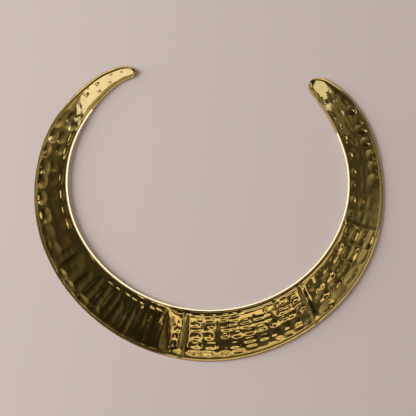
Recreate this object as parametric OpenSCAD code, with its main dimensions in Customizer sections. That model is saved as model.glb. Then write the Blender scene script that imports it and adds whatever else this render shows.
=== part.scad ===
// Open collar of hammered brass sheet, lying flat on its back. Millimetres, +Z up, the throat side towards -Y.

/* [Outline] */
// Radius of the neck hole at the throat
neck_r = 67.3; // [60:0.1:80]
// Width of the band at the throat, its widest place
band_w = 24.5; // [18:0.1:30]
// Angle from the throat to the left tip, seen from above
left_reach = 142.3; // [120:0.1:150]
// Angle from the throat to the right tip
right_reach = 130.2; // [120:0.1:150]
// Length over which the left tip rounds off
left_tip_round = 4.8; // [3:0.1:8]
// Length over which the right tip rounds off
right_tip_round = 4.6; // [3:0.1:8]

/* [Sheet] */
// Thickness of the brass sheet
sheet_t = 1.2; // [0.8:0.05:2]
// Thickness of the outer edge, where the sheet is hammered thin
edge_t = 0.7; // [0.4:0.05:0.8]
// How far the crest of the band stands above its edges at the throat
crown_h = 1.15; // [0.5:0.05:2.5]
// Width of the rounded bead along the inner edge, seen from above
bead_w = 0.9; // [0.7:0.05:1.4]
// How far the outer edge bulges out
rim_w = 0.3; // [0.1:0.05:0.6]

/* [Hammering] */
// Depth of a dent
dent_depth = 0.15; // [0.05:0.01:0.4]
// Depth of the two creases that end the throat's dents
crease_depth = 0.2; // [0.05:0.01:0.4]
// Smooth border between the inner edge and the first row of dents
inner_border = 2.3; // [1.5:0.1:4]
// Smooth border between the last row of dents and the outer edge
outer_border = 1.9; // [1:0.1:4]

/* [Hidden] */

// Columns of STATIONS: place along the arm as a share of its reach, with the left arm negative, then the inner
// radius as a share of neck_r and the band's width as a share of band_w
REACH = 0;
NECK = 1;
WIDE = 2;
STATIONS = [
    [-1.000, 0.791, 0.308],
    [-0.956, 0.833, 0.327],
    [-0.914, 0.858, 0.378],
    [-0.843, 0.887, 0.453],
    [-0.731, 0.941, 0.559],
    [-0.618, 0.986, 0.622],
    [-0.506, 1.012, 0.704],
    [-0.394, 1.016, 0.796],
    [-0.253, 1.009, 0.898],
    [-0.127, 1.003, 0.967],
    [ 0.000, 1.000, 1.000],
    [ 0.138, 1.001, 0.967],
    [ 0.277, 1.004, 0.906],
    [ 0.430, 1.003, 0.829],
    [ 0.553, 0.991, 0.743],
    [ 0.676, 0.960, 0.669],
    [ 0.799, 0.914, 0.649],
    [ 0.891, 0.886, 0.570],
    [ 0.952, 0.873, 0.452],
    [ 1.000, 0.872, 0.314],
];

// How a ring of points is marked: plain, across the middle of a column of dents, or along a crease
PLAIN = 0;
DENTED = 1;
CREASED = 2;

// Columns of HAMMERED: where a run of dents starts and ends along the arms, its number of columns and of rows, and
// how its columns are marked
START = 0;
STOP = 1;
COLUMNS = 2;
ROWS = 3;
MARK = 4;
HAMMERED = [
    [-0.787, -0.731,  2, 3, DENTED],
    [-0.731, -0.422,  8, 3, DENTED],
    [-0.422, -0.088, 11, 4, DENTED],
    [-0.088, -0.070,  1, 6, DENTED],
    [-0.070, -0.053,  1, 7, CREASED],
    [-0.053,  0.266, 10, 7, DENTED],
    [ 0.266,  0.284,  1, 7, CREASED],
    [ 0.284,  0.515,  5, 4, DENTED],
    [ 0.515,  0.945,  9, 3, DENTED],
];
// Most rows in any of the runs; each ring has points for that many
most_rows = 7;

// How level the dome is at an angle from the throat: at 0 it slopes outward all the way from the bead, and at 1 it
// is flat across its middle and falls off at both edges
LEVEL = [
    [-120, 1], [-108, 0], [-16, 0], [-12.5, 1],
    [36, 1], [39, 0.85], [66, 0.65], [69, 0], [118, 0], [125, 1],
];
// At level 0 and level 1, the crest's place as a share of the way from the bead to the outer edge, and the power of
// the dome's curve on its inner and outer sides
CREST = [0, 0.48];
INNER_POWER = [1.5, 12];
OUTER_POWER = [1.5, 5];
// How the crown falls with the band's width
crown_power = 1.2;
// The bead's outline from its underside to the face, as shares of bead_w and sheet_t, and the height on it, as such
// a share, where its side stands upright and is taller wherever the dome starts higher
BEAD = [[0.66, 0], [0.08, 0.1], [0, 0.23], [0.31, 0.53], [0.76, 0.91], [1, 1]];
bead_side = 0.23;
// Width under which the edges and borders narrow with the band, and the band's width at the very end of a tip
full_edge_w = 7;
blunt_w = 1.4;
// Rings on each plain tip, steps across the band's top, round the outer edge and across the hollow back
tip_rings = 10;
top_steps = 2 * most_rows + 2;
rim_steps = 4;
back_steps = 6;
// How far in from the inner and the outer edge the hollow back starts; the collar rests on what is left
inner_rest = 1.9;
outer_rest = 1.2;

// Angle from the throat at a share of an arm's reach
function turn(share) = share * (share < 0 ? left_reach : right_reach);

// Smooth curve through one column of STATIONS
function steepness(i, column) =
    let (low = max(i - 1, 0), high = min(i + 1, len(STATIONS) - 1))
    (STATIONS[high][column] - STATIONS[low][column]) / (STATIONS[high][REACH] - STATIONS[low][REACH]);
function station_before(share, i = 0) =
    i >= len(STATIONS) - 2 || share < STATIONS[i + 1][REACH] ? i : station_before(share, i + 1);
function along(share, column) =
    let (
        i = station_before(share),
        gap = STATIONS[i + 1][REACH] - STATIONS[i][REACH],
        t = (share - STATIONS[i][REACH]) / gap,
        rise = STATIONS[i + 1][column] - STATIONS[i][column],
        from = steepness(i, column) * gap - rise,
        to = rise - steepness(i + 1, column) * gap
    )
    STATIONS[i][column] + t * rise + t * (1 - t) * (from * (1 - t) + to * t);

// Band at a share of the reach: full width before the tip is rounded, centreline radius, and rounded width
function full_width(share) = band_w * along(share, WIDE);
function middle_radius(share) = neck_r * along(share, NECK) + full_width(share) / 2;
function tip_round(share) = share < 0 ? left_tip_round : right_tip_round;
function tip_reach(share) = share < 0 ? left_reach : right_reach;
function from_tip(share) = (1 - abs(share)) * tip_reach(share) * middle_radius(share) * PI / 180;
function roundness(share) =
    let (t = min(from_tip(share) / tip_round(share), 1))
    sqrt(1 - (1 - t) * (1 - t));
function width(share) = max(full_width(share) * roundness(share), blunt_w);

// Height of the band's top above its outer edge, at v from the inner edge of a band w wide
function crown(w) = crown_h * pow(w / band_w, crown_power);
function tight(w) = min(w / full_edge_w, 1);
function between(ends, level) = ends[0] + (ends[1] - ends[0]) * level;
function dome(v, w, level) =
    let (
        start = bead_w * tight(w),
        crest = start + (w - start) * between(CREST, level),
        inward = v < crest,
        side = inward ? (crest - max(v, start)) / (crest - start) : (v - crest) / (w - crest)
    )
    crown(w) * (1 - (inward ? level : 1) * pow(side, between(inward ? INNER_POWER : OUTER_POWER, level)));

// How much thinner the sheet is at v, in the border along its outer edge
function thinning(v, w) =
    let (into_border = max(v - w + outer_border * tight(w), 0) / ((outer_border - rim_w) * tight(w)))
    (sheet_t - edge_t) * into_border * into_border;

// Distance from the inner edge of each point across the top: two for each row of dents and the rest in the border
function top_place(k, rows, w) =
    let (
        first = inner_border * tight(w),
        last = w - outer_border * tight(w),
        border = (outer_border - rim_w) * tight(w),
        spare = k - 2 * rows
    )
    spare <= 0 ? first + (last - first) * k / (2 * rows) : last + border * spare / (top_steps - 2 * rows + 1);

// How far the hammer lowers each of those points
function lowering(k, rows, mark) =
    k < 1 || k >= 2 * rows ? 0 : mark == CREASED ? crease_depth : mark == DENTED && k % 2 == 1 ? dent_depth : 0;

// Closed outline of the band's section as [v, z], from under the bead, over the top, and back under the sheet
function section(share, rows, mark) =
    let (
        w = width(share),
        level = lookup(turn(share), LEVEL),
        lift = dome(bead_w * tight(w), w, level),
        hollow_start = inner_rest * tight(w),
        hollow_w = w - (inner_rest + outer_rest) * tight(w)
    )
    concat(
        [for (p = BEAD) [p.x * bead_w * tight(w), p.y * sheet_t + lift * min(p.y / bead_side, 1)]],
        [for (k = [0:top_steps]) let (v = top_place(k, rows, w))
            [v, sheet_t + dome(v, w, level) - thinning(v, w) - lowering(k, rows, mark)]],
        [for (k = [0:rim_steps]) let (a = 90 - 180 * k / rim_steps)
            [w - rim_w * tight(w) * (1 - cos(a)), edge_t / 2 * (1 + sin(a))]],
        [for (k = [back_steps:-1:0]) let (v = hollow_start + hollow_w * k / back_steps)
            [v, k == 0 || k == back_steps ? 0 : dome(v, w, level)]]
    );

// Rings as [share of the reach, rows, mark]
function eased(k, steps) = 1 - cos(90 * k / steps);
left_tip_rings = [for (k = [0:tip_rings - 1])
    [-1 + (1 + HAMMERED[0][START]) * eased(k, tip_rings), HAMMERED[0][ROWS], PLAIN]];
field_rings = [for (run = HAMMERED) for (k = [0:2 * run[COLUMNS] - 1])
    [run[START] + (run[STOP] - run[START]) * k / (2 * run[COLUMNS]), run[ROWS], k % 2 == 1 ? run[MARK] : PLAIN]];
last_run = HAMMERED[len(HAMMERED) - 1];
right_tip_rings = [for (k = [tip_rings:-1:0])
    [1 - (1 - last_run[STOP]) * eased(k, tip_rings), last_run[ROWS], PLAIN]];
RINGS = concat(left_tip_rings, field_rings, right_tip_rings);

// A point at radius r and angle a from the throat, with the neck's centre at the origin
function seen_from_above(r, a) = [r * sin(a), -r * cos(a)];
outer_edge = [for (ring = RINGS)
    seen_from_above(middle_radius(ring.x) + width(ring.x) / 2, turn(ring.x))];
box_middle = [
    (max([for (p = outer_edge) p.x]) + min([for (p = outer_edge) p.x])) / 2,
    (max([for (p = outer_edge) p.y]) + min([for (p = outer_edge) p.y])) / 2,
];

ring_size = len(BEAD) + top_steps + 1 + rim_steps + 1 + back_steps + 1;
band_points = [for (ring = RINGS) let (inner_r = middle_radius(ring.x) - width(ring.x) / 2)
    for (p = section(ring.x, ring.y, ring.z)) let (plan = seen_from_above(inner_r + p.x, turn(ring.x)))
        [plan.x, plan.y, p.y]];
function ring_point(ring, k) = ring * ring_size + k % ring_size;
band_walls = [for (ring = [0:len(RINGS) - 2]) for (k = [0:ring_size - 1])
    each [
        [ring_point(ring, k), ring_point(ring + 1, k + 1), ring_point(ring, k + 1)],
        [ring_point(ring, k), ring_point(ring + 1, k), ring_point(ring + 1, k + 1)],
    ]];
band_ends = [
    [for (k = [0:ring_size - 1]) ring_point(0, k)],
    [for (k = [ring_size - 1:-1:0]) ring_point(len(RINGS) - 1, k)],
];

// The whole collar, one piece of sheet with its origin under the middle of its outline
module collar() {
    color("goldenrod")
    translate([-box_middle.x, -box_middle.y, 0])
    polyhedron(points = band_points, faces = concat(band_walls, band_ends), convexity = 6);
}

collar();
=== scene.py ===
"""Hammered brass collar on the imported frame, in metres, +Z up, with the throat side towards -Y.

The real collar is one sheet of brass, so one dense mesh stands for its one CAD node. Sizes are in millimetres
until a mesh is written, and angles are in degrees from the throat, with the left arm negative.
"""
import logging
import math
from dataclasses import dataclass
from enum import Enum

import bpy
import numpy as np
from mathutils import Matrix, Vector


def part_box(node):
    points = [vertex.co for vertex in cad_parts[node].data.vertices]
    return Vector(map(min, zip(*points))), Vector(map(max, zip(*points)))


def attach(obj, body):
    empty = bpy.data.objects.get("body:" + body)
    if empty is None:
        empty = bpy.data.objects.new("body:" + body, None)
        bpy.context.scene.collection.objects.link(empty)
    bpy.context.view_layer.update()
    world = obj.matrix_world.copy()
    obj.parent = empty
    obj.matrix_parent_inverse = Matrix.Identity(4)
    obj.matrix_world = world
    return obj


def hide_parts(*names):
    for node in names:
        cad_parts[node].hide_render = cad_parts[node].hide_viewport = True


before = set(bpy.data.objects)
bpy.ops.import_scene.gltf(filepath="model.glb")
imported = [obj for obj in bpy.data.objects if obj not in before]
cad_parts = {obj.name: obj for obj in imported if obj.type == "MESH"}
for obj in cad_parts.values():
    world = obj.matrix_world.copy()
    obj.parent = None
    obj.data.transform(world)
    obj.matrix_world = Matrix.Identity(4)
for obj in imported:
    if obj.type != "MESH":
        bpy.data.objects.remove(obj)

LOG = logging.getLogger("collar")
MM = 0.001
# Width of the band below which its edges shrink with it
FULL_EDGE_W = 7.0


def squeeze(width: float | np.ndarray) -> float | np.ndarray:
    """How much of its full size an edge has, from 0 to 1, for each width of the band."""
    return np.minimum(width / FULL_EDGE_W, 1)


def between(ends: tuple[float, float], share: np.ndarray) -> np.ndarray:
    """The value that lies a share of the way from the first end to the second."""
    return ends[0] + (ends[1] - ends[0]) * share


def look_up(table: tuple[tuple[float, ...], ...], angle: np.ndarray, column: int = 1) -> np.ndarray:
    """A column's value at each angle, in straight lines between a table's rows, which start with an angle."""
    rows = np.array(table, float)
    return np.interp(angle, rows[:, 0], rows[:, column])


@dataclass(frozen=True)
class Outline:
    """The collar seen from above: its inner edge and width along both arms.

    A station holds its place as a share of the arm's reach, negative on the left arm, then the inner radius
    as a share of neck_r and the band's width as a share of band_w. Each tip rounds off over the length given
    for it, and is blunt_w wide at its very end.
    """

    neck_r: float = 67.3
    band_w: float = 24.5
    left_reach: float = 142.3
    right_reach: float = 130.2
    left_tip_round: float = 4.8
    right_tip_round: float = 4.6
    blunt_w: float = 1.4
    stations: tuple[tuple[float, float, float], ...] = (
        (-1.000, 0.791, 0.308),
        (-0.956, 0.833, 0.327),
        (-0.914, 0.858, 0.378),
        (-0.843, 0.887, 0.453),
        (-0.731, 0.941, 0.559),
        (-0.618, 0.986, 0.622),
        (-0.506, 1.012, 0.704),
        (-0.394, 1.016, 0.796),
        (-0.253, 1.009, 0.898),
        (-0.127, 1.003, 0.967),
        (0.000, 1.000, 1.000),
        (0.138, 1.001, 0.967),
        (0.277, 1.004, 0.906),
        (0.430, 1.003, 0.829),
        (0.553, 0.991, 0.743),
        (0.676, 0.960, 0.669),
        (0.799, 0.914, 0.649),
        (0.891, 0.886, 0.570),
        (0.952, 0.873, 0.452),
        (1.000, 0.872, 0.314),
    )

    def along(self, share: np.ndarray, column: int) -> np.ndarray:
        """Smooth curve through one column of the stations.

        Args:
            share: places along the arms, as shares of each arm's reach.
            column: 1 for the inner radius, 2 for the width.

        Returns:
            The column's value at each place.
        """
        table = np.array(self.stations)
        places, values = table[:, 0], table[:, column]
        before = np.maximum(np.arange(len(places)) - 1, 0)
        after = np.minimum(np.arange(len(places)) + 1, len(places) - 1)
        slope = (values[after] - values[before]) / (places[after] - places[before])
        last = np.clip(np.searchsorted(places, share, side="right") - 1, 0, len(places) - 2)
        gap = places[last + 1] - places[last]
        part = (share - places[last]) / gap
        rise = values[last + 1] - values[last]
        start = slope[last] * gap - rise
        stop = rise - slope[last + 1] * gap
        return values[last] + part * rise + part * (1 - part) * (start * (1 - part) + stop * part)

    def reach(self, share: np.ndarray) -> np.ndarray:
        """The whole reach, in degrees, of the arm that each place is on."""
        return np.where(share < 0, self.left_reach, self.right_reach)

    def middle_radius(self, share: np.ndarray) -> np.ndarray:
        """Radius of the band's centreline at each place."""
        return self.neck_r * self.along(share, 1) + self.band_w * self.along(share, 2) / 2

    def width(self, share: np.ndarray) -> np.ndarray:
        """Width of the band at each place, with the tips rounded off.

        Args:
            share: places along the arms, as shares of each arm's reach.

        Returns:
            The band's width at each place.
        """
        from_tip = np.radians((1 - np.abs(share)) * self.reach(share)) * self.middle_radius(share)
        round_off = np.where(share < 0, self.left_tip_round, self.right_tip_round)
        inward = np.minimum(from_tip / round_off, 1)
        rounded = self.band_w * self.along(share, 2) * np.sqrt(np.maximum(1 - (1 - inward) ** 2, 0))
        return np.maximum(rounded, self.blunt_w)

    def arc(self, share: np.ndarray) -> np.ndarray:
        """Length along the centreline from the throat to each place.

        Args:
            share: places in rising order, as shares of each arm's reach.

        Returns:
            The lengths, negative on the left arm.
        """
        radius, angle = self.middle_radius(share), np.radians(share * self.reach(share))
        step = np.hypot(np.diff(radius), np.diff(angle) * (radius[1:] + radius[:-1]) / 2)
        length = np.concatenate([[0.0], np.cumsum(step)])
        return length - np.interp(0.0, share, length)


@dataclass(frozen=True)
class Strip:
    """The grid of places over the band's top, with a row for each ring and a column for each point across.

    Each ring has its angle, its place along the centreline, and the band's inner radius and width there. Each
    point has its distance across from the inner edge.
    """

    angle: np.ndarray
    arc: np.ndarray
    inner: np.ndarray
    width: np.ndarray
    across: np.ndarray

    def arc_at(self, angle: float | tuple[float, ...]) -> float | np.ndarray:
        """Place along the centreline at each angle."""
        return np.interp(angle, self.angle, self.arc)

    def plan(self, across: np.ndarray) -> tuple[np.ndarray, np.ndarray]:
        """Where points that far across lie seen from above, with the neck's centre at the origin."""
        radius, turn = self.inner[:, None] + across, np.radians(self.angle)[:, None]
        return radius * np.sin(turn), -radius * np.cos(turn)


@dataclass(frozen=True)
class Row:
    """One row of dents.

    Its place and breadth are shares of the hammered field's width, its dents' length is a share of the run's
    pitch, and the softness is how softly their walls meet the sheet.
    """

    place: float
    breadth: float
    depth: float
    length: float = 1.08
    softness: float = 1.3


def even_rows(*depths: float, softness: float = 1.3, overlap: float = 1.12) -> tuple[Row, ...]:
    """Rows of equal breadth that fill the field and overlap a little.

    Args:
        depths: the depth of each row's dents, from the inner side out.
        softness: how softly their walls meet the sheet.
        overlap: the breadth of all the rows together, as a share of the field's width.

    Returns:
        The rows.
    """
    count = len(depths)
    return tuple(
        Row((k + 0.5) / count, overlap / count, depth, softness=softness) for k, depth in enumerate(depths))


@dataclass(frozen=True)
class Run:
    """A run of dents between two angles, in columns across the band.

    The squareness shapes the dents' outlines, and 2 gives an ellipse. Where the columns aren't evenly spaced,
    places holds their angles. The slant is how far along the arm a column moves for each step outward.
    """

    start: float
    stop: float
    columns: int
    rows: tuple[Row, ...]
    squareness: float = 2.2
    seed: int = 1
    places: tuple[float, ...] = ()
    slant: float = 0.0

    def spread(self, strip: Strip) -> tuple[np.ndarray, np.ndarray]:
        """Where the columns lie.

        Args:
            strip: the grid over the band's top.

        Returns:
            Each column's place along the centreline, and its length there.
        """
        first, last = strip.arc_at((self.start, self.stop))
        edges = np.linspace(first, last, self.columns + 1)
        if self.places:
            middles = strip.arc_at(self.places)
            edges[1:-1] = (middles[1:] + middles[:-1]) / 2
        return (edges[1:] + edges[:-1]) / 2, np.diff(edges)


@dataclass(frozen=True)
class Dent:
    """One dent: its distance from the inner edge, its size, its depth and its shape."""

    across: float
    length: float
    breadth: float
    depth: float
    softness: float = 1.3
    squareness: float = 2.0


@dataclass(frozen=True)
class Crease:
    """A crease across the band: a groove, or a ridge where its depth is negative.

    The slant is how far along the arm it moves for each step outward.
    """

    angle: float
    half_width: float
    depth: float
    slant: float = 0.0


@dataclass(frozen=True)
class Patch:
    """A patch of stain or of painted shade: its angle, its distance from the inner edge and its size."""

    angle: float
    across: float
    size: float


@dataclass(frozen=True)
class Waves:
    """Slight waves all over the sheet: how many, how long and how steep."""

    count: int
    shortest: float
    longest: float
    steepness: float


@dataclass(frozen=True)
class Hammering:
    """The hammer's marks: runs of dents, single dents, creases between the runs, and the waves of hand work.

    Each single dent has its angle before it. The stains are reddish, and the shade patches are painted shade
    beside the narrow strip of small dents. The borders are the smooth strips beside the rows of dents. The
    sharpness is how clearly the deepest dent wins where two meet. The jitters are shares of the pitch or
    breadth, the size and the depth, and most_jitter caps their draws.
    """

    runs: tuple[Run, ...] = (
        Run(-112, -104, 2, even_rows(0.04, 0.04, 0.04, softness=1.6)),
        Run(-104, -60, 8, (
            Row(0.03, 0.18, 0.09, 1.2),
            Row(0.40, 0.52, 0.08, 1.05, 2.0),
            Row(0.84, 0.52, 0.27, 1.0, 1.6))),
        Run(-61, -42, 5, (Row(0.50, 0.90, 0.17, 1.1, 1.6),), squareness=2.4, seed=4, slant=0.08),
        Run(-42, -26, 4, (Row(0.52, 1.0, 0.23, 1.05, 1.5),), squareness=2.5, seed=4),
        Run(-26, -14, 3, (Row(0.52, 1.0, 0.14, 1.05, 1.5),), squareness=2.5, seed=7),
        Run(-64, -35, 5, (Row(0.95, 0.30, 0.29, 0.80, 1.5),), squareness=2.1, seed=8),
        Run(-42, -14, 9, (Row(0.30, 0.40, 0.05, 1.0, 1.5), Row(0.72, 0.40, 0.05, 1.0, 1.5)), seed=9),
        Run(-42, -16, 7, (Row(0.04, 0.12, 0.06, 0.95),), seed=5),
        Run(-12.3, -9.9, 1, even_rows(0.08, 0.08, 0.08, 0.08, 0.08, 0.08, softness=1.6), seed=2, slant=-0.12),
        Run(-6.5, 35.0, 10, (
            Row(0.035, 0.11, 0.07, 0.85),
            Row(0.125, 0.15, 0.10, 1.0, 1.8),
            Row(0.25, 0.16, 0.10, 1.05, 2.0),
            Row(0.35, 0.13, 0.06, 1.2, 2.2),
            Row(0.50, 0.18, 0.12, 1.0, 2.0),
            Row(0.72, 0.20, 0.13, 1.1, 2.0),
            Row(0.90, 0.18, 0.11, 1.05, 2.2)),
            squareness=2.5, seed=0, places=(-4.1, 0.3, 4.4, 8.9, 13.3, 18.4, 22.0, 25.0, 29.0, 33.0)),
        Run(37.2, 67.4, 5, even_rows(0.12, 0.15, 0.20, 0.26, softness=1.8), squareness=2.3, seed=3),
        Run(68, 123, 9, (
            Row(0.04, 0.18, 0.10, 0.65),
            Row(0.40, 0.24, 0.05, 1.0, 1.6),
            Row(0.60, 0.24, 0.04, 1.0, 1.6))),
        Run(82, 114, 7, (Row(0.84, 0.50, 0.22, 1.0, 1.6),),
            places=(84.3, 89.4, 93.7, 98.5, 102.5, 107.7, 112.0)),
    )
    dents: tuple[tuple[float, Dent], ...] = (
        (-137, Dent(4.6, 2.0, 1.2, 0.05)),
        (-133, Dent(6.0, 2.6, 1.2, 0.06)),
        (-130, Dent(3.0, 2.2, 1.2, 0.05)),
        (-126, Dent(6.6, 3.0, 1.6, 0.08)),
        (-124, Dent(3.4, 2.4, 1.4, 0.06)),
        (-120, Dent(6.8, 3.0, 1.8, 0.10)),
    )
    creases: tuple[Crease, ...] = (
        Crease(-8.7, 1.2, 0.28),
        Crease(35.8, 1.35, 0.20, -0.2),
        Crease(68.3, 0.8, -0.08, 0.1),
    )
    stains: tuple[Patch, ...] = (
        Patch(-84.5, 11.0, 1.7),
        Patch(-78.5, 9.7, 2.0),
        Patch(-68.0, 4.5, 3.4),
        Patch(-60.8, 8.6, 1.7),
        Patch(95.8, 6.7, 1.6),
    )
    shade_patches: tuple[Patch, ...] = (
        Patch(-14.7, 8.0, 2.0),
        Patch(-14.5, 11.5, 2.4),
        Patch(-14.4, 15.0, 2.6),
        Patch(-14.3, 18.5, 2.6),
        Patch(-14.2, 21.5, 2.2),
    )
    waves: tuple[Waves, ...] = (
        Waves(10, 6.0, 16.0, 0.003),
        Waves(12, 2.5, 6.0, 0.0045),
    )
    inner_border: float = 2.3
    outer_border: float = 1.9
    sharpness: float = 60.0
    place_jitter: float = 0.095
    size_jitter: float = 0.1
    depth_jitter: float = 0.3
    column_tilt: float = 0.07
    most_jitter: float = 1.8
    least_depth: float = 0.02
    wave_seed: int = 19

    def laid_out(self, run: Run, strip: Strip) -> list[tuple[float, Dent]]:
        """Places a run's dents, each a little off in place, size and depth, as by hand.

        Args:
            run: the run of dents.
            strip: the grid over the band's top.

        Returns:
            Each dent, after its place along the centreline.
        """
        rng = np.random.default_rng(run.seed)
        placed = []
        for middle, pitch in zip(*run.spread(strip)):
            shift = self.place_jitter * rng.normal() * pitch
            tilt = self.column_tilt * rng.normal() * pitch
            for row in run.rows:
                draws = np.clip(rng.normal(size=5), -self.most_jitter, self.most_jitter)
                along, outward, longer, broader, deeper = draws
                centre = middle + shift + tilt * (2 * row.place - 1)
                centre += self.place_jitter * along * pitch
                width = float(np.interp(centre, strip.arc, strip.width))
                tight = squeeze(width)
                field = width - (self.inner_border + self.outer_border) * tight
                place = row.place + self.place_jitter * outward * row.breadth
                across = self.inner_border * tight + place * field
                centre += run.slant * (across - width / 2)
                length = row.length * pitch * (1 + self.size_jitter * longer)
                breadth = row.breadth * field * (1 + self.size_jitter * broader)
                depth = max(row.depth * (1 + self.depth_jitter * deeper), self.least_depth)
                placed.append((centre, Dent(across, length, breadth, depth, row.softness, run.squareness)))
        return placed

    def strike(self, strip: Strip, total: np.ndarray, centre: float, dent: Dent) -> None:
        """Adds one dent to the running total.

        Args:
            strip: the grid over the band's top.
            total: the softened total of all dents so far, changed in place.
            centre: the dent's place along the centreline.
            dent: its distance from the inner edge, size, depth and shape.
        """
        width = float(np.interp(centre, strip.arc, strip.width))
        inner = float(np.interp(centre, strip.arc, strip.inner))
        half_length = dent.length / 2 * (inner + dent.across) / (inner + width / 2)
        near = np.abs(strip.arc - centre) < dent.length
        along = np.abs(strip.arc[near, None] - centre) / half_length
        outward = np.abs(strip.across[near] - dent.across) / (dent.breadth / 2)
        inside = np.clip(1 - along ** dent.squareness - outward ** dent.squareness, 0, None)
        total[near] += np.expm1(self.sharpness * dent.depth * inside ** dent.softness)

    def pits(self, strip: Strip) -> np.ndarray:
        """Depth of the dents at each place, the deepest dent winning where two meet.

        Args:
            strip: the grid over the band's top.

        Returns:
            The depth at each place, 0 outside the dents.
        """
        placed = [pair for run in self.runs for pair in self.laid_out(run, strip)]
        placed += [(strip.arc_at(angle), dent) for angle, dent in self.dents]
        total = np.zeros_like(strip.across)
        for centre, dent in placed:
            self.strike(strip, total, centre, dent)
        return np.log1p(total) / self.sharpness

    def folds(self, strip: Strip) -> np.ndarray:
        """Depth of the creases at each place.

        Args:
            strip: the grid over the band's top.

        Returns:
            The depth at each place, negative on a ridge.
        """
        depth = np.zeros_like(strip.across)
        for crease in self.creases:
            centre = strip.arc_at(crease.angle) + crease.slant * (strip.across - strip.width[:, None] / 2)
            depth += crease.depth * np.exp(-((strip.arc[:, None] - centre) / crease.half_width) ** 2)
        return depth

    def patches(self, strip: Strip, stains: tuple[Patch, ...]) -> np.ndarray:
        """How far into a patch each place is.

        Args:
            strip: the grid over the band's top.
            stains: the patches, of stain or of painted shade.

        Returns:
            The strength at each place, from 0 well outside the patches to 1 in the middle of one.
        """
        total = np.zeros_like(strip.across)
        for stain in stains:
            along = strip.arc[:, None] - strip.arc_at(stain.angle)
            away = np.hypot(along, strip.across - stain.across) / stain.size
            total = np.maximum(total, np.exp(-away ** 2))
        return total

    def swell(self, strip: Strip) -> np.ndarray:
        """Height of all the waves at each place.

        Args:
            strip: the grid over the band's top.

        Returns:
            The height at each place.
        """
        rng = np.random.default_rng(self.wave_seed)
        x, y = strip.plan(strip.across)
        height = np.zeros_like(x)
        for waves in self.waves:
            for _ in range(waves.count):
                heading, phase = rng.uniform(0, 2 * math.pi, 2)
                turns = 2 * math.pi / rng.uniform(waves.shortest, waves.longest)
                along = (x * math.cos(heading) + y * math.sin(heading)) * turns
                height += waves.steepness / turns * np.sin(along + phase)
        return height


class Side(Enum):
    """The collar's surfaces, each with its own finish; the value is its material slot on the mesh."""

    FACE = 0
    BEAD = 1
    RIM = 2
    BACK = 3


class Mark(Enum):
    """What the mesh tells its materials at each point; the value is the attribute's name."""

    RECESS_AND_SHADE = "recess"
    STAINED = "stained"


@dataclass(frozen=True)
class Finish:
    """How one surface of the brass is finished: its colours, its roughness, and how strong each effect is."""

    name: str
    clean: tuple[float, float, float]
    tarnished_and_shaded: tuple[float, float, float]
    roughness: float
    tarnish: float
    stains: float
    scratches: float


FINISHES: dict[Side, Finish] = {
    Side.FACE: Finish("brass_face", (0.93, 0.66, 0.175), (0.36, 0.22, 0.055), 0.05, 0.26, 0.9, 0.25),
    # The bead's near-white brass is a painted highlight along the inner edge
    Side.BEAD: Finish("brass_bead_highlight", (1.0, 0.92, 0.67), (0.80, 0.62, 0.34), 0.15, 0.08, 0.1, 0.20),
    # The outer edge's darker brass is painted shade, also given to the bead past its highlight
    Side.RIM: Finish("brass_rim_shade", (0.46, 0.33, 0.13), (0.25, 0.16, 0.055), 0.25, 0.50, 0.3, 0.30),
    Side.BACK: Finish("brass_back", (0.80, 0.62, 0.26), (0.42, 0.29, 0.12), 0.32, 0.60, 0.6, 0.60),
}


class Nodes:
    """A small helper to lay out shader nodes in a tree."""

    def __init__(self, tree: bpy.types.NodeTree) -> None:
        """Keeps the tree that the nodes go into."""
        self.tree = tree

    def link(self, output: bpy.types.NodeSocket, target: bpy.types.NodeSocket) -> None:
        """Links an output to an input."""
        self.tree.links.new(output, target)

    def add(self, kind: str, settings: dict | None = None, values: dict | None = None) -> bpy.types.Node:
        """Adds one node.

        Args:
            kind: the node's type name, without its ShaderNode prefix.
            settings: the node's own properties.
            values: numbers, colours or output sockets for its inputs, by name or index.

        Returns:
            The new node.
        """
        node = self.tree.nodes.new("ShaderNode" + kind)
        for name, value in (settings or {}).items():
            setattr(node, name, value)
        for name, value in (values or {}).items():
            if isinstance(value, bpy.types.NodeSocket):
                self.link(value, node.inputs[name])
            else:
                node.inputs[name].default_value = value
        return node

    def math(self, operation: str, first: object, second: object = 0.0) -> bpy.types.NodeSocket:
        """Adds one sum of two numbers or sockets and returns its output."""
        return self.add("Math", {"operation": operation}, {0: first, 1: second}).outputs[0]

    def mix(self, share: object, first: object, second: object) -> bpy.types.NodeSocket:
        """Adds one mix of two colours, at inputs 6 and 7, and returns its colour, at output 2."""
        return self.add("Mix", {"data_type": "RGBA"}, {0: share, 6: first, 7: second}).outputs[2]

    def noise(self, place: bpy.types.NodeSocket, scale: object, detail: float) -> bpy.types.NodeSocket:
        """Adds one cloudy pattern and returns its value."""
        return self.add("TexNoise", {}, {"Vector": place, "Scale": scale, "Detail": detail}).outputs[0]

    def spread(self, value: bpy.types.NodeSocket, limits: tuple[float, float]) -> bpy.types.NodeSocket:
        """Spreads a value out, from 0 at the first limit to 1 at the second, and returns the result."""
        low, high = limits
        return self.add("MapRange", {}, {"Value": value, "From Min": low, "From Max": high}).outputs[0]


def fresh_nodes(owner: bpy.types.Material | bpy.types.World) -> Nodes:
    """Empties a material's or a world's nodes.

    Args:
        owner: the material or world.

    Returns:
        The helper for its tree.
    """
    owner.use_nodes = True
    owner.node_tree.nodes.clear()
    return Nodes(owner.node_tree)


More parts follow.
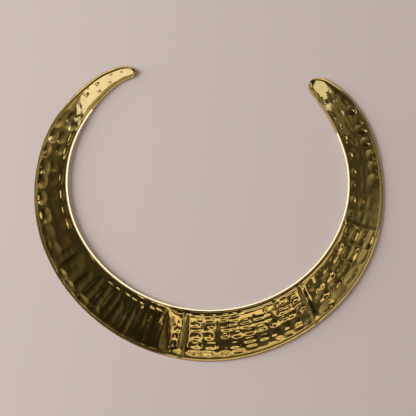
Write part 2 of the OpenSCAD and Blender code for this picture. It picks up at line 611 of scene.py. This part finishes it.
def start_group(name: str, inputs: dict[str, float], outputs: tuple[str, ...]) -> tuple[Nodes, dict]:
    """Starts a shader node group.

    Args:
        name: the group's name.
        inputs: each input's name and default; every input is a number.
        outputs: each output's name; every output is a number.

    Returns:
        The helper for its tree, and its sockets by name.
    """
    tree = bpy.data.node_groups.new(name, "ShaderNodeTree")
    for title, default in inputs.items():
        socket = tree.interface.new_socket(title, in_out="INPUT", socket_type="NodeSocketFloat")
        socket.default_value = default
    for title in outputs:
        tree.interface.new_socket(title, in_out="OUTPUT", socket_type="NodeSocketFloat")
    start = tree.nodes.new("NodeGroupInput")
    stop = tree.nodes.new("NodeGroupOutput")
    sockets = {title: start.outputs[title] for title in inputs}
    sockets.update({title: stop.inputs[title] for title in outputs})
    return Nodes(tree), sockets


@dataclass(frozen=True)
class Tarnish:
    """Cloudy tarnish that gathers in the dents, plus the painted shade and the edge darkening that the mesh
    marks.
    """

    scale: float = 160.0
    detail: float = 5.0
    limits: tuple[float, float] = (0.38, 0.68)
    in_recesses: float = 0.7
    in_clouds: float = 0.6

    def group(self) -> bpy.types.NodeTree:
        """Builds the shared effect.

        Returns:
            The group, with the mask of tarnish and painted shade as its output.
        """
        inputs = {"RecessAndShade": 0.0, "Amount": 0.5, "Scale": self.scale}
        nodes, sockets = start_group("Tarnish", inputs, ("Mask",))
        place = nodes.add("NewGeometry").outputs["Position"]
        clouds = nodes.spread(nodes.noise(place, sockets["Scale"], self.detail), self.limits)
        gathered = nodes.math("MULTIPLY", sockets["RecessAndShade"], self.in_recesses)
        both = nodes.math("ADD", gathered, nodes.math("MULTIPLY", clouds, self.in_clouds))
        nodes.link(nodes.math("MULTIPLY", both, sockets["Amount"]), sockets["Mask"])
        return nodes.tree


@dataclass(frozen=True)
class Stains:
    """Blotchy stains, strong where the surface is marked as stained and very thin elsewhere."""

    scale: float = 260.0
    detail: float = 3.0
    limits: tuple[float, float] = (0.40, 0.62)
    elsewhere: float = 0.04

    def group(self) -> bpy.types.NodeTree:
        """Builds the shared effect.

        Returns:
            The group, with the stains' mask as its output.
        """
        inputs = {"Stained": 0.0, "Amount": 0.5, "Scale": self.scale}
        nodes, sockets = start_group("Stains", inputs, ("Mask",))
        place = nodes.add("NewGeometry").outputs["Position"]
        blots = nodes.spread(nodes.noise(place, sockets["Scale"], self.detail), self.limits)
        marked = nodes.math("ADD", sockets["Stained"], self.elsewhere)
        mask = nodes.math("MULTIPLY", nodes.math("MULTIPLY", blots, marked), sockets["Amount"])
        nodes.link(mask, sockets["Mask"])
        return nodes.tree


@dataclass(frozen=True)
class Scratches:
    """Fine polishing scratches in sets, each with its turn in radians and how many times longer than wide."""

    sets: tuple[tuple[float, float], ...] = ((0.3, 14.0), (1.4, 18.0), (2.5, 11.0))
    scale: float = 150.0
    detail: float = 2.0
    limits: tuple[float, float] = (0.62, 0.74)

    def group(self) -> bpy.types.NodeTree:
        """Builds the shared effect.

        Returns:
            The group, with the scratches' mask and their height, below 0, as its outputs.
        """
        nodes, sockets = start_group("Scratches", {"Amount": 0.5}, ("Mask", "Height"))
        place = nodes.add("NewGeometry").outputs["Position"]
        lines = []
        for turn, stretch in self.sets:
            laid = nodes.add("Mapping", {}, {
                "Vector": place, "Rotation": (0, 0, turn), "Scale": (stretch, 1, 1)}).outputs[0]
            lines.append(nodes.spread(nodes.noise(laid, self.scale, self.detail), self.limits))
        total = lines[0]
        for line in lines[1:]:
            total = nodes.math("MAXIMUM", total, line)
        mask = nodes.math("MULTIPLY", total, sockets["Amount"])
        nodes.link(mask, sockets["Mask"])
        nodes.link(nodes.math("MULTIPLY", mask, -1.0), sockets["Height"])
        return nodes.tree


@dataclass(frozen=True)
class BrassMaker:
    """Makes the brass materials from the shared effects, each of which also roughens the brass."""

    tarnish: bpy.types.NodeTree
    stains: bpy.types.NodeTree
    scratches: bpy.types.NodeTree
    stain_colour: tuple[float, float, float, float] = (0.50, 0.14, 0.03, 1.0)
    tarnish_rough: float = 0.06
    stain_rough: float = 0.25
    scratch_rough: float = 0.10
    scratch_depth: float = 0.00001

    def make(self, finish: Finish) -> bpy.types.Material:
        """Makes one material.

        Args:
            finish: the finish that it shows.

        Returns:
            The material.
        """
        material = bpy.data.materials.new(finish.name)
        nodes = fresh_nodes(material)
        recess, marked = (
            nodes.add("Attribute", {"attribute_name": mark.value}).outputs["Fac"] for mark in Mark)
        tarnish = nodes.add("Group", {"node_tree": self.tarnish}, {
            "RecessAndShade": recess, "Amount": finish.tarnish}).outputs["Mask"]
        stains = nodes.add("Group", {"node_tree": self.stains}, {
            "Stained": marked, "Amount": finish.stains}).outputs["Mask"]
        scratches = nodes.add("Group", {"node_tree": self.scratches}, {"Amount": finish.scratches})
        # The darker colour shows the tarnish in the dents and also the painted shade marked in the mesh
        metal = nodes.mix(tarnish, (*finish.clean, 1), (*finish.tarnished_and_shaded, 1))
        stained = nodes.mix(stains, metal, self.stain_colour)
        rough = nodes.math("ADD", nodes.math("MULTIPLY", tarnish, self.tarnish_rough), finish.roughness)
        rough = nodes.math("ADD", rough, nodes.math("MULTIPLY", stains, self.stain_rough))
        scratched = nodes.math("MULTIPLY", scratches.outputs["Mask"], self.scratch_rough)
        rough = nodes.math("ADD", rough, scratched)
        bump = nodes.add("Bump", {}, {
            "Strength": 1.0, "Distance": self.scratch_depth, "Height": scratches.outputs["Height"]})
        surface = nodes.add("BsdfPrincipled", {}, {
            "Base Color": stained, "Metallic": 1.0, "Roughness": rough, "Normal": bump.outputs[0]})
        nodes.add("OutputMaterial", {}, {"Surface": surface.outputs[0]})
        return material


def new_object(name: str, data: bpy.types.ID) -> bpy.types.Object:
    """Makes an object and puts it in the scene.

    Args:
        name: the object's name.
        data: its mesh, light or camera.

    Returns:
        The object.
    """
    piece = bpy.data.objects.new(name, data)
    bpy.context.scene.collection.objects.link(piece)
    return piece


@dataclass(frozen=True)
class Stretch:
    """One stretch of the section at every ring: its surface, and its points' distances across and heights."""

    side: Side
    across: np.ndarray
    height: np.ndarray


@dataclass(frozen=True)
class Collar:
    """The whole collar: a domed band of sheet with a bead along its inner edge and a thin turned outer edge.

    Each table whose rows start with an angle is read in straight lines between its rows.
    """

    outline: Outline = Outline()
    hammering: Hammering = Hammering()
    # Thickness of the sheet and of the outer edge, and how far in from that edge the sheet starts to thin
    sheet_t: float = 1.2
    edge_t: float = 0.7
    bevel_w: float = 2.0
    # Height of the dome at the throat, and the power of the band's width that it follows along the arms
    crown_h: float = 1.15
    crown_power: float = 1.2
    # How level the dome is across at each angle: 0 slopes outward all the way, 1 has a level crest
    levels: tuple[tuple[float, float], ...] = (
        (-120, 1), (-108, 0), (-16, 0), (-12.5, 1), (36, 1),
        (39, 0.85), (66, 0.65), (69, 0), (118, 0), (125, 1))
    # The crest's place across and the powers of the fall inside and outside it, each sloping and level
    crest: tuple[float, float] = (0.0, 0.48)
    inner_power: tuple[float, float] = (1.5, 12.0)
    outer_power: tuple[float, float] = (1.5, 5.0)
    # Least width of the fall inside the crest, to divide by
    least_fall: float = 0.001
    # Section of the bead: each point's distance from the inner edge and height
    bead: tuple[tuple[float, float], ...] = (
        (0.59, 0.00), (0.27, 0.03), (0.07, 0.12), (0.00, 0.28), (0.05, 0.40), (0.27, 0.64), (0.50, 0.90),
        (0.67, 1.09), (0.78, 1.17), (0.88, 1.20),
    )
    # Radius of the bead, and how far the round of the outer edge bulges
    bead_r: float = 0.65
    rim_r: float = 0.28
    # How far from the inner edge the bead ends and the hammered top starts
    field_start: float = 1.0
    # Width over which the hammering fades out at each side of the top
    fade_w: float = 0.6
    # Height above which the bead's points rise with the dome, and below which they rise less
    bead_side: float = 0.28
    # How far the bead moves over the neck hole where the dome slopes
    bead_shift: float = 0.13
    # How many of the bead's points have its near-white brass, a painted highlight, and the angles between
    # which they have it
    bead_points: int = 8
    bead_highlight_span: tuple[float, float] = (-116.0, 104.0)
    # Angles at which the round of the outer edge leaves the top and meets the ground
    rim_turn: tuple[float, float] = (70.0, -90.0)
    # How many of the top's outermost points have the outer edge's darker brass, a painted shade
    rim_columns: int = 3
    # How far beyond the bead and the outer round the flats go on that the collar lies on
    rest_flat: float = 0.6
    # Depth at which a dent is as tarnished as it gets
    full_tarnish_depth: float = 0.25
    # Painted shade beside the bead, laid on through the tarnish mask: angle, distance from the inner edge,
    # half width and strength
    groove_shade: tuple[tuple[float, float, float, float], ...] = (
        (-116, 1.0, 0.25, 0.0), (-108, 1.0, 0.25, 4.0), (-16, 1.0, 0.25, 4.0), (-12.5, 1.6, 0.7, 5.0),
        (66, 1.6, 0.7, 5.0), (69, 1.0, 0.25, 4.0), (108, 1.0, 0.25, 4.0), (116, 1.0, 0.25, 0.0))
    # Strength of the painted shade in the patches, and of the darkening along the outer edge at each angle
    patch_shade: float = 4.5
    edge_darkening: tuple[tuple[float, float], ...] = ((-78, 0.0), (-64, 2.2), (-16, 2.2), (-11, 0.0))
    # Rings of the mesh on each tip and between the tips, and each tip's share of its arm
    tip_rings: int = 26
    rings: int = 930
    tip_share: float = 0.03
    # Steps across the top, round the outer edge and across the back
    top_steps: int = 72
    rim_steps: int = 5
    back_steps: int = 10

    def shares(self) -> np.ndarray:
        """Places of the rings, closer together where the tips round off.

        Returns:
            The places in rising order, as shares of each arm's reach.
        """
        ease = self.tip_share * (1 - np.cos(np.linspace(0, math.pi / 2, self.tip_rings)))
        middle = np.linspace(-1 + self.tip_share, 1 - self.tip_share, self.rings)
        return np.concatenate([-1 + ease[:-1], middle, (1 - ease[:-1])[::-1]])

    def crown(self, width: np.ndarray) -> np.ndarray:
        """Height of the band's crest above its edges, for each width."""
        return self.crown_h * (width / self.outline.band_w) ** self.crown_power

    def dome(self, across: np.ndarray, width: np.ndarray, angle: np.ndarray) -> np.ndarray:
        """Height of the dome over the outer edge: level round the throat, sloping outward along the arms.

        Args:
            across: distances from the inner edge.
            width: the band's width at each.
            angle: the angle from the throat of each.

        Returns:
            The height at each place.
        """
        level = look_up(self.levels, angle)
        start = self.field_start * squeeze(width)
        across = np.maximum(across, start)
        crest = start + (width - start) * between(self.crest, level)
        inward = across < crest
        inner = (crest - across) / np.maximum(crest - start, self.least_fall)
        outer = (across - crest) / (width - crest)
        power = np.where(inward, between(self.inner_power, level), between(self.outer_power, level))
        fall = np.where(inward, level, 1) * np.where(inward, inner, outer) ** power
        return self.crown(width) * (1 - fall)

    def strip(self) -> Strip:
        """Lays out the grid over the band's top.

        Returns:
            The grid.
        """
        share = self.shares()
        width = self.outline.width(share)
        tight = squeeze(width)
        start, stop = self.field_start * tight, width - self.rim_r * tight
        steps = np.linspace(0, 1, self.top_steps + 1)[None, :]
        return Strip(
            angle=share * self.outline.reach(share),
            arc=self.outline.arc(share),
            inner=self.outline.middle_radius(share) - width / 2,
            width=width,
            across=start[:, None] + (stop - start)[:, None] * steps)

    def bead_stretch(self, strip: Strip) -> Stretch:
        """The bead, from its underside round the inner edge to the top.

        Args:
            strip: the grid over the band's top.

        Returns:
            The bead's stretch of the section.
        """
        width, angle = strip.width[:, None], strip.angle[:, None]
        tight = squeeze(width)
        place, height = np.array(self.bead).T
        across = (place - self.bead_shift * (1 - look_up(self.levels, angle))) * tight
        rise = self.dome(self.field_start * tight, width, angle)
        return Stretch(Side.BEAD, across, height + rise * np.clip(height / self.bead_side, 0, 1))

    def top_stretch(self, strip: Strip, pits: np.ndarray) -> Stretch:
        """The hammered top.

        Args:
            strip: the grid over the band's top.
            pits: depth of the dents at each of its places.

        Returns:
            The top's stretch of the section.
        """
        width, across = strip.width[:, None], strip.across
        tight = squeeze(width)
        fade = np.clip((across - self.field_start * tight) / self.fade_w, 0, 1)
        fade *= np.clip((width - self.rim_r * tight - across) / self.fade_w, 0, 1)
        height = self.sheet_t + self.dome(across, width, strip.angle[:, None])
        height += (self.hammering.swell(strip) - self.hammering.folds(strip) - pits) * fade
        bevel = (across - width + self.bevel_w * tight) / ((self.bevel_w - self.rim_r) * tight)
        height -= (self.sheet_t - self.edge_t) * np.clip(bevel, 0, 1) ** 2
        return Stretch(Side.FACE, across, height)

    def rim_stretch(self, strip: Strip) -> Stretch:
        """The round of the outer edge, from the top down to the ground.

        Args:
            strip: the grid over the band's top.

        Returns:
            The rim's stretch of the section.
        """
        width = strip.width[:, None]
        turn = np.radians(np.linspace(*self.rim_turn, self.rim_steps + 1))
        across = width - self.rim_r * squeeze(width) * (1 - np.cos(turn))
        height = self.edge_t / 2 * (1 + np.sin(turn))
        return Stretch(Side.RIM, across, np.broadcast_to(height, across.shape))

    def back_stretch(self, strip: Strip) -> Stretch:
        """The hollow back, which follows the dome between the two flats that the collar lies on.

        Args:
            strip: the grid over the band's top.

        Returns:
            The back's stretch of the section.
        """
        width = strip.width[:, None]
        tight = squeeze(width)
        start = (2 * self.bead_r + self.rest_flat) * tight
        stop = width - (2 * self.rim_r + self.rest_flat) * tight
        across = stop + (start - stop) * np.linspace(0, 1, self.back_steps + 1)
        height = self.dome(across, width, strip.angle[:, None])
        height[:, [0, -1]] = 0
        return Stretch(Side.BACK, across, height)

    def slots(self, strip: Strip, sides: np.ndarray, on_top: slice, on_edge: slice) -> np.ndarray:
        """Gives each wall between two rings its material slot.

        Args:
            strip: the grid over the band's top.
            sides: the slot of the stretch that each point of a ring is on.
            on_top: the points of the top.
            on_edge: the points of the outer edge.

        Returns:
            The slot of the wall after each point of each ring but the last.
        """
        slots = np.tile(sides, (len(strip.angle) - 1, 1))
        slots[:, self.bead_points:on_top.start] = Side.FACE.value
        slots[:, on_edge.start:on_top.stop] = Side.RIM.value
        # Past these angles the bead takes the outer edge's darker brass, painted shade, in place of its
        # painted highlight
        past_highlight = (strip.angle < self.bead_highlight_span[0]) | (strip.angle > self.bead_highlight_span[1])
        slots[past_highlight[:-1, None] & (slots == Side.BEAD.value)] = Side.RIM.value
        return slots

    def marks(self, strip: Strip, pits: np.ndarray, size: int, on_top: slice,
              on_edge: slice) -> dict[Mark, np.ndarray]:
        """Marks where the tarnish gathers, where shade is painted and the outer edge darkened, and where the
        stains are.

        Args:
            strip: the grid over the band's top.
            pits: depth of the dents at each of its places.
            size: how many points a ring has.
            on_top: the points of the top.
            on_edge: the points of the outer edge.

        Returns:
            A number at each point of each ring, for each mark.
        """
        angle = strip.angle[:, None]
        recess, stained = np.zeros((len(angle), size)), np.zeros((len(angle), size))
        # Painted shade in the groove beside the bead
        place, half_width, shade_strength = (look_up(self.groove_shade, angle, column) for column in (1, 2, 3))
        groove_shade = shade_strength * np.exp(-((strip.across / squeeze(strip.width[:, None]) - place) / half_width) ** 2)
        # Painted shade in the patches by the narrow strip of small dents
        shade_in_patches = self.patch_shade * self.hammering.patches(strip, self.hammering.shade_patches)
        recess[:, on_top] = np.clip(pits / self.full_tarnish_depth, 0, 1) + groove_shade + shade_in_patches
        # Darker along the outer edge between -78 and -11 degrees
        recess[:, on_edge] += look_up(self.edge_darkening, angle)
        stained[:, on_top] = self.hammering.patches(strip, self.hammering.stains)
        return {Mark.RECESS_AND_SHADE: recess, Mark.STAINED: stained}

    def mesh(self, strip: Strip, across: np.ndarray, height: np.ndarray, slots: np.ndarray,
             marks: dict[Mark, np.ndarray]) -> bpy.types.Object:
        """Turns the rings of points into an object over its CAD node.

        Args:
            strip: the grid over the band's top.
            across: how far from the inner edge each point is.
            height: the height of each point.
            slots: the material slot of the wall after each point.
            marks: numbers of 0 or more at each point, for the materials to read.

        Returns:
            The new object.
        """
        points = np.stack([*strip.plan(across), height], 2).reshape(-1, 3)
        # Seen from above, the middle of the outline goes over the middle of the node
        low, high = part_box("collar")
        middle = (points.min(0) + points.max(0)) / 2
        points[:, 0] += (low.x + high.x) / 2 / MM - middle[0]
        points[:, 1] += (low.y + high.y) / 2 / MM - middle[1]
        count, size = across.shape
        ring, here = np.meshgrid(np.arange(count - 1), np.arange(size), indexing="ij")
        after = (here + 1) % size
        walls = np.stack(
            [ring * size + here, (ring + 1) * size + here, (ring + 1) * size + after, ring * size + after], 2)
        ends = [list(range(size)), list(range((count - 1) * size, count * size))[::-1]]
        data = bpy.data.meshes.new("collar_brass")
        data.from_pydata((points * MM).tolist(), [], walls.reshape(-1, 4).tolist() + ends)
        for mark, values in marks.items():
            data.attributes.new(mark.value, "FLOAT", "POINT").data.foreach_set("value", values.ravel())
        slots = np.concatenate([slots.ravel(), [Side.BACK.value] * len(ends)])
        data.polygons.foreach_set("material_index", slots.astype(np.int32))
        data.polygons.foreach_set("use_smooth", np.ones(len(slots), bool))
        data.update()
        data.validate()
        return new_object("collar_brass", data)

    def build(self) -> bpy.types.Object:
        """Builds the collar's mesh.

        Returns:
            The new object, named collar_brass.
        """
        strip = self.strip()
        pits = self.hammering.pits(strip)
        section = (
            self.bead_stretch(strip), self.top_stretch(strip, pits),
            self.rim_stretch(strip), self.back_stretch(strip))
        counts = [stretch.across.shape[1] for stretch in section]
        bead, top, rim, _ = counts
        on_top = slice(bead, bead + top)
        on_edge = slice(bead + top - self.rim_columns, bead + top + rim)
        sides = np.repeat([stretch.side.value for stretch in section], counts)
        return self.mesh(
            strip,
            np.concatenate([stretch.across for stretch in section], 1),
            np.concatenate([stretch.height for stretch in section], 1),
            self.slots(strip, sides, on_top, on_edge),
            self.marks(strip, pits, len(sides), on_top, on_edge))

    def dress(self, piece: bpy.types.Object, maker: BrassMaker) -> None:
        """Gives each surface of the collar's object its finish."""
        for side in Side:
            piece.data.materials.append(maker.make(FINISHES[side]))


@dataclass(frozen=True)
class Panel:
    """A soft light over the collar that shows only in what the brass mirrors.

    Its middle from the camera's axis, its size and its height are in millimetres, and its turn is in degrees.
    Its brightness is how bright it looks.
    """

    name: str
    x: float
    y: float
    length: float
    depth: float
    brightness: float
    turn: float = 0.0
    colour: tuple[float, float, float] = (1.0, 0.92, 0.98)
    height: float = 455.0


@dataclass(frozen=True)
class Lamp:
    """A square light that faces the collar and shows only in what it lights.

    Its side and its place are in metres, and its power is in watts.
    """

    name: str
    side: float
    power: float
    place: tuple[float, float, float]
    colour: tuple[float, float, float]


@dataclass(frozen=True)
class Glow:
    """A soft patch of brighter surroundings.

    Its bearing from +Y, clockwise from above, its angle from straight up and its size are in degrees.
    """

    bearing: float
    from_up: float
    size: float
    brightness: float
    colour: tuple[float, float, float] = (1.0, 0.97, 0.95)

    def heading(self) -> tuple[float, float, float]:
        """The direction towards it."""
        bearing, tilt = math.radians(self.bearing), math.radians(self.from_up)
        return (math.sin(bearing) * math.sin(tilt), math.cos(bearing) * math.sin(tilt), math.cos(tilt))


@dataclass(frozen=True)
class Studio:
    """A pale floor, soft light and a camera straight above.

    Sizes are in millimetres, apart from the camera's nearest and farthest sight, which are in metres. The sky
    has its brightness at each angle from straight up.
    """

    camera_x: float = -0.35
    camera_y: float = 2.72
    camera_height: float = 450.0
    view_width: float = 195.52
    sensor_width: float = 36.0
    nearest: float = 0.01
    farthest: float = 20.0
    floor_size: float = 3000.0
    floor_colour: tuple[float, float, float, float] = (0.715, 0.645, 0.615, 1.0)
    lamps: tuple[Lamp, ...] = (
        Lamp("light_key", 1.0, 43.0, (-1.45, 0.25, 0.50), (1.0, 1.0, 1.0)),
        Lamp("light_fill", 2.4, 11.0, (0.0, 0.0, 1.6), (1.0, 0.78, 0.70)),
    )
    panels: tuple[Panel, ...] = (
        Panel("light_ring_south", 12, -82, 144, 33, 0.90),
        Panel("light_ring_north", 3, 25, 162, 38, 0.90),
        Panel("light_ring_west", -64, -29, 27, 70, 0.90),
        Panel("light_ring_east", 70, -29, 18, 70, 0.90),
        Panel("light_east", 146, -50, 7, 110, 0.55),
        Panel("light_south_near", 43, -227, 274, 19, 0.90),
        Panel("light_south_mid", 95, -258, 317, 12, 0.90),
        Panel("light_south_far", 95, -298, 317, 12, 0.90),
        Panel("light_tip_left", -78, 144, 124, 110, 0.98, 7.0, (0.96, 1.04, 1.85)),
        Panel("light_tip_right", 99, 149, 62, 74, 0.80, 7.0, (0.96, 1.04, 1.60)),
        Panel("light_tip_right_low", 152, 116, 60, 84, 0.11, 7.0),
        Panel("light_south_left", -27, -126, 22, 55, 0.85),
    )
    sky: tuple[tuple[float, float], ...] = (
        (0, 0.036), (7, 0.032), (13, 0.006), (20, 0.007), (35, 0.034),
        (58, 0.07), (70, 0.20), (80, 1.25), (90, 2.1))
    sky_colour: tuple[float, float, float] = (1.0, 0.95, 0.87)
    glows: tuple[Glow, ...] = (
        Glow(105, 24, 18, 0.05),
        Glow(88, 38, 13, 0.24, (1.0, 1.05, 1.4)),
        Glow(120, 38, 15, 0.22, (1.0, 1.05, 1.4)),
        Glow(-140, 31, 9, 0.06),
        Glow(-85, 34, 15, 0.15),
        Glow(-75, 44, 13, 0.28),
        Glow(112, 22, 6, 0.25),
        Glow(-46, 21, 6, 0.45),
        Glow(-115, 18, 6, 0.035),
        Glow(-178, 24, 6, 0.13),
        Glow(-118, 26, 5, 0.10),
        Glow(-128, 41, 9, 0.42),
        Glow(161, 31, 8, 0.36),
    )

    def floor(self) -> None:
        """Lays the pale floor under the collar."""
        half = self.floor_size * MM / 2
        data = bpy.data.meshes.new("floor")
        points = [(-half, -half, 0), (half, -half, 0), (half, half, 0), (-half, half, 0)]
        data.from_pydata(points, [], [(0, 1, 2, 3)])
        material = bpy.data.materials.new("floor_pale")
        nodes = fresh_nodes(material)
        surface = nodes.add("BsdfPrincipled", {}, {
            "Base Color": self.floor_colour, "Roughness": 0.9, "Specular IOR Level": 0.1})
        nodes.add("OutputMaterial", {}, {"Surface": surface.outputs[0]})
        data.materials.append(material)
        piece = new_object("floor", data)

    def hang(self, panel: Panel) -> None:
        """Hangs one soft light over the collar, facing down.

        Args:
            panel: the light.
        """
        data = bpy.data.lights.new(panel.name, "AREA")
        data.shape = "RECTANGLE"
        data.size, data.size_y = panel.length * MM, panel.depth * MM
        data.energy = panel.brightness * math.pi * data.size * data.size_y
        data.color = panel.colour
        light = new_object(panel.name, data)
        light.location = ((self.camera_x + panel.x) * MM, (self.camera_y + panel.y) * MM, panel.height * MM)
        light.rotation_euler.z = math.radians(panel.turn)
        light.visible_camera = False
        light.visible_diffuse = False

    def stand(self, lamp: Lamp) -> None:
        """Places one light that lights the collar and the floor.

        Args:
            lamp: the light.
        """
        data = bpy.data.lights.new(lamp.name, "AREA")
        data.size, data.energy, data.color = lamp.side, lamp.power, lamp.colour
        light = new_object(lamp.name, data)
        light.location = lamp.place
        light.rotation_euler = (-light.location).to_track_quat("-Z", "Y").to_euler()
        light.visible_camera = False
        light.visible_glossy = False

    def world(self) -> None:
        """Makes the surroundings: dim overhead and bright towards the horizon, with the glows added."""
        world = bpy.data.worlds.new("studio")
        bpy.context.scene.world = world
        nodes = fresh_nodes(world)
        world.cycles_visibility.diffuse = False
        heading = nodes.add("TexCoord").outputs["Generated"]
        up = nodes.add("SeparateXYZ", {}, {0: heading}).outputs[2]
        from_zenith = nodes.math("DIVIDE", nodes.math("ARCCOSINE", up), math.pi / 2)
        ramp = nodes.add("ValToRGB", {}, {0: from_zenith})
        stops = ramp.color_ramp.elements
        while len(stops) < len(self.sky):
            stops.new(1.0)
        for stop, (angle, brightness) in zip(stops, self.sky):
            stop.position = angle / 90
            stop.color = (*(brightness * part for part in self.sky_colour), 1)
        light = ramp.outputs[0]
        for glow in self.glows:
            toward = nodes.add("VectorMath", {"operation": "DOT_PRODUCT"}, {0: heading, 1: glow.heading()})
            away = nodes.math("ARCCOSINE", toward.outputs["Value"])
            away = nodes.math("DIVIDE", away, math.radians(glow.size))
            falling = nodes.math("EXPONENT", nodes.math("MULTIPLY", nodes.math("POWER", away, 2.0), -1.0))
            colour = tuple(glow.brightness * part for part in glow.colour)
            patch = nodes.add("VectorMath", {"operation": "SCALE"}, {0: colour, "Scale": falling}).outputs[0]
            light = nodes.add("VectorMath", {"operation": "ADD"}, {0: light, 1: patch}).outputs[0]
        lit = nodes.add("Background", {}, {"Color": light, "Strength": 1.0})
        nodes.add("OutputWorld", {}, {"Surface": lit.outputs[0]})

    def camera(self) -> None:
        """Hangs the camera straight above, with the photograph's frame."""
        data = bpy.data.cameras.new("camera")
        data.sensor_fit = "HORIZONTAL"
        data.sensor_width = self.sensor_width
        data.lens = data.sensor_width * self.camera_height / self.view_width
        data.clip_start, data.clip_end = self.nearest, self.farthest
        camera = new_object("camera", data)
        camera.location = (self.camera_x * MM, self.camera_y * MM, self.camera_height * MM)
        bpy.context.scene.camera = camera

    def build(self) -> None:
        """Sets up the camera, the floor and the light."""
        self.camera()
        self.floor()
        self.world()
        for lamp in self.lamps:
            self.stand(lamp)
        for panel in self.panels:
            self.hang(panel)
        bpy.context.scene.view_settings.view_transform = "Standard"


def main() -> None:
    """Builds and dresses the collar, then the studio."""
    logging.basicConfig(level=logging.INFO, format="%(name)s: %(message)s")
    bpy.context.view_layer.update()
    collar = Collar()
    piece = collar.build()
    LOG.info("built %s with %d faces", piece.name, len(piece.data.polygons))
    collar.dress(piece, BrassMaker(Tarnish().group(), Stains().group(), Scratches().group()))
    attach(piece, "root")
    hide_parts("collar")
    LOG.info("dressed %s with %d materials", piece.name, len(piece.data.materials))
    Studio().build()
    LOG.info("set up the studio")


if __name__ == "__main__":
    main()
